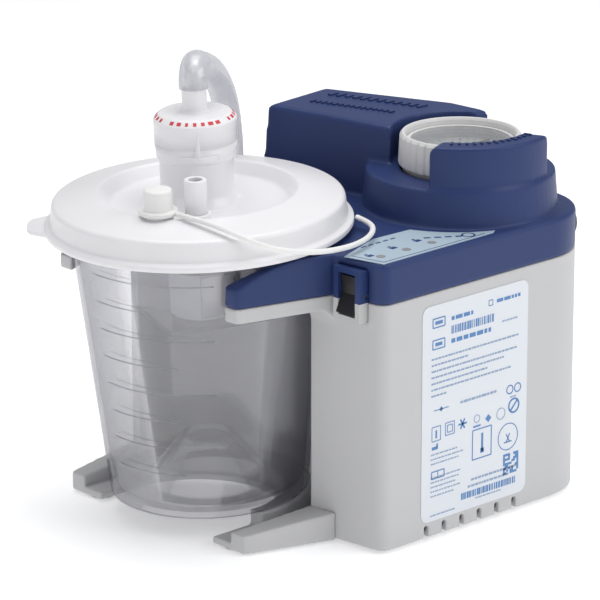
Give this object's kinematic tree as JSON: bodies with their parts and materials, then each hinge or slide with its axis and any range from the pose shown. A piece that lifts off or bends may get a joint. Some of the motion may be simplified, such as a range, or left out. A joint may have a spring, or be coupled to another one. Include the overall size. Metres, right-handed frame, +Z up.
{
  "type": "portable suction pump",
  "caption": "Portable suction pump: two-tone housing whose arms and foot hold a tapered clear canister with lid, filter and hose, beside a ring knob round a vacuum gauge.",
  "frame": {"origin": "centre of the bounding box on the table, measured without the hose and its elbow", "axes": "+X from the canister to the back of the housing, +Y from the label side to the hose side, +Z up"},
  "size_m": [0.2215, 0.1631, 0.2061],
  "materials": {
    "clear_polycarbonate": "clear moulded plastic",
    "white_plastic": "satin",
    "soft_white": "matt",
    "clear_tube": "soft clear tubing",
    "filter_paper": "matt",
    "navy_plastic": "satin",
    "grey_plastic": "fine texture",
    "black_plastic": "satin",
    "black_rubber": "matt",
    "knob_grey": "satin",
    "label_film": "satin",
    "label_white": "satin",
    "lamp_lens": "gloss",
    "clear_lens": "clear",
    "brass": "turned",
    "steel": "brushed",
    "aluminium": "cast",
    "battery_wrap": "wrapped cells",
    "green_board": "lacquer",
    "inner_black": "moulded",
    "needle_red": "painted"
  },
  "bodies": {
    "pump": {"lower_housing": "grey_plastic", "top_cover": "navy_plastic", "canister_tray": "grey_plastic", "rubber_feet": "black_rubber", "control_panel_label": "label_film", "rating_label": "label_white", "status_lamps": "lamp_lens", "switch_frame": "navy_plastic", "rocker_pin": "steel", "power_inlet": "black_plastic", "hose_nipple": "white_plastic", "gauge_case": "inner_black", "bourdon_tube": "brass", "gauge_dial": "label_white", "gauge_lens": "clear_lens", "regulator_spring": "steel", "regulator_body": "inner_black", "battery_cells": "battery_wrap", "battery_tray": "inner_black", "circuit_board": "green_board", "board_components": "inner_black", "motor_case": "steel", "motor_bearings": "brass", "diaphragm": "black_rubber", "crankcase": "aluminium", "valve_plate": "aluminium", "reed_valves": "black_rubber", "pump_head": "aluminium", "head_screws": "steel", "pump_bracket": "steel", "rubber_isolators": "black_rubber", "vacuum_tube": "soft_white", "suction_tube": "soft_white", "exhaust_tube": "soft_white", "exhaust_muffler": "inner_black", "housing_screws": "steel"},
    "canister": {"canister": "clear_polycarbonate"},
    "lid": {"canister_lid": "white_plastic", "lid_gasket": "soft_white", "float_shield": "clear_polycarbonate", "cap_tether": "soft_white"},
    "filter": {"filter_housing": "white_plastic", "filter_membrane": "filter_paper", "filter_cap": "white_plastic", "hose_elbow": "clear_tube", "hose": "clear_tube"},
    "port_cap": {"port_cap": "soft_white"},
    "float": {"shutoff_float": "white_plastic", "float_seal": "soft_white"},
    "knob": {"regulator_knob": "knob_grey"},
    "plunger": {"regulator_plunger": "brass"},
    "needle": {"gauge_needle": "needle_red"},
    "rocker": {"power_rocker": "black_plastic"},
    "rotor": {"motor_shaft": "steel", "motor_armature": "steel", "eccentric": "steel"},
    "rod": {"connecting_rod": "aluminium", "crank_bearing": "steel", "diaphragm_clamp": "aluminium"}
  },
  "joints": [
    {"name": "canister_lift", "type": "slide", "parent": "pump", "child": "canister", "axis": [-0.0419, 0, 0.9991], "range_m": [0, 0.125]},
    {"name": "lid_lift", "type": "slide", "parent": "canister", "child": "lid", "axis": [-0.0419, 0, 0.9991], "range_m": [0, 0.03]},
    {"name": "filter_pull", "type": "slide", "parent": "lid", "child": "filter", "axis": [-0.0419, 0, 0.9991], "range_m": [0, 0.02]},
    {"name": "port_cap_pull", "type": "slide", "parent": "lid", "child": "port_cap", "axis": [-0.0419, 0, 0.9991], "range_m": [0, 0.012], "deforming": ["cap_tether"]},
    {"name": "float_rise", "type": "slide", "parent": "lid", "child": "float", "axis": [-0.0419, 0, 0.9991], "range_m": [0, 0.0155]},
    {"name": "knob_turn", "type": "hinge", "parent": "pump", "child": "knob", "pos_m": [0.0643, -0.03555, 0.1617], "axis": [0, 0, -1], "range_deg": [0, 270]},
    {"name": "regulator_feed", "type": "slide", "parent": "pump", "child": "plunger", "axis": [0, 0, -1], "range_m": [0, 0.003], "deforming": ["regulator_spring"]},
    {"name": "needle_swing", "type": "hinge", "parent": "pump", "child": "needle", "pos_m": [0.0643, -0.03555, 0.1547], "axis": [0, 0, -1], "range_deg": [0, 270], "stiffness_Nm_per_rad": 0.00002},
    {"name": "rocker_tilt", "type": "hinge", "parent": "pump", "child": "rocker", "pos_m": [-0.028, -0.06415, 0.114], "axis": [0, -1, 0], "range_deg": [0, 15]},
    {"name": "motor_spin", "type": "hinge", "parent": "pump", "child": "rotor", "pos_m": [0.0766, -0.00915, 0.076], "axis": [0, 1, 0], "continuous": true, "deforming": ["diaphragm"]},
    {"name": "rod_orbit", "type": "hinge", "parent": "rotor", "child": "rod", "pos_m": [0.0741, -0.00915, 0.076], "axis": [0, 1, 0], "continuous": true}
  ],
  "couplings": [
    {"joint": "knob_turn", "follows": "regulator_feed", "rad_per_m": 1570.8},
    {"joint": "rod_orbit", "follows": "motor_spin", "ratio": -1}
  ]
}
